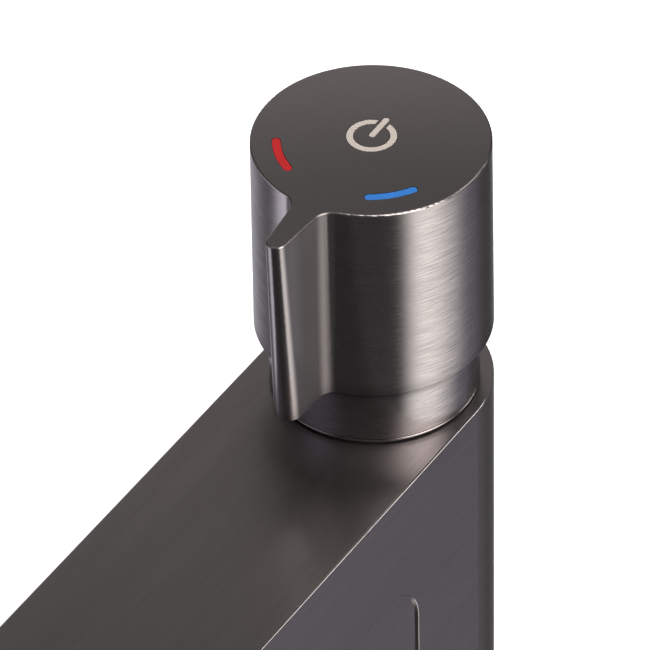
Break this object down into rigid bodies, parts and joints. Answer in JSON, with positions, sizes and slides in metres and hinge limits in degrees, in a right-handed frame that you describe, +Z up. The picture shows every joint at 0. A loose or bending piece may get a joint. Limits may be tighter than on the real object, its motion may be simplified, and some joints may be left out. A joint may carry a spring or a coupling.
{
  "type": "basin mixer tap",
  "caption": "Deck-mounted basin mixer tap with a flat spout and a round knob that turns for temperature and presses for on and off.",
  "frame": {"origin": "centre of the tap hole, on the top of the deck", "axes": "+Z up, spout towards -Y, hot side towards -X"},
  "size_m": [0.05, 0.1495, 0.2459],
  "materials": {
    "gunmetal": "brushed gunmetal coating on brass",
    "knob_gunmetal": "brushed gunmetal coating on cast metal, matte on top",
    "bare_brass": "machined",
    "steel": "plain machined",
    "black_plastic": "moulded",
    "grey_plastic": "moulded",
    "white_plastic": "moulded",
    "ceramic": "ground and lapped",
    "black_rubber": "moulded",
    "silver_inlay": "satin",
    "red_enamel": "gloss",
    "blue_enamel": "gloss"
  },
  "bodies": {
    "tap": {"tap_body": "gunmetal", "collar": "gunmetal", "retaining_nut": "bare_brass", "fixing_stud": "steel", "clamp_plate": "steel", "fixing_nut": "steel", "aerator_sleeve": "steel", "deck_seat": "black_plastic", "shadow_ring": "black_plastic", "cartridge_base": "grey_plastic", "cartridge_housing": "grey_plastic", "aerator_insert": "grey_plastic", "thrust_ring": "white_plastic", "fixed_disc": "ceramic", "deck_seal": "black_rubber", "clamp_pad": "black_rubber", "aerator_washer": "black_rubber", "port_seals": "black_rubber", "housing_seal": "black_rubber"},
    "stem": {"turning_stem": "bare_brass", "moving_disc": "ceramic", "stem_seals": "black_rubber", "return_spring": "steel"},
    "knob": {"knob_shell": "knob_gunmetal", "power_mark": "silver_inlay", "hot_mark": "red_enamel", "cold_mark": "blue_enamel", "knob_carrier": "black_plastic", "grub_screw": "steel", "guide_ring": "white_plastic", "push_rod": "bare_brass", "rod_seals": "black_rubber", "poppet_seal": "black_rubber"}
  },
  "joints": [
    {"name": "temperature_turn", "type": "hinge", "parent": "tap", "child": "stem", "pos_m": [0, -0.00085, 0.13], "axis": [0, 0, 1], "range_deg": [-50, 50]},
    {"name": "flow_push", "type": "slide", "parent": "stem", "child": "knob", "axis": [0, 0, -1], "range_m": [0, 0.0035], "stiffness_N_per_m": 1200, "springref_m": -0.005, "deforming": ["return_spring"]}
  ]
}
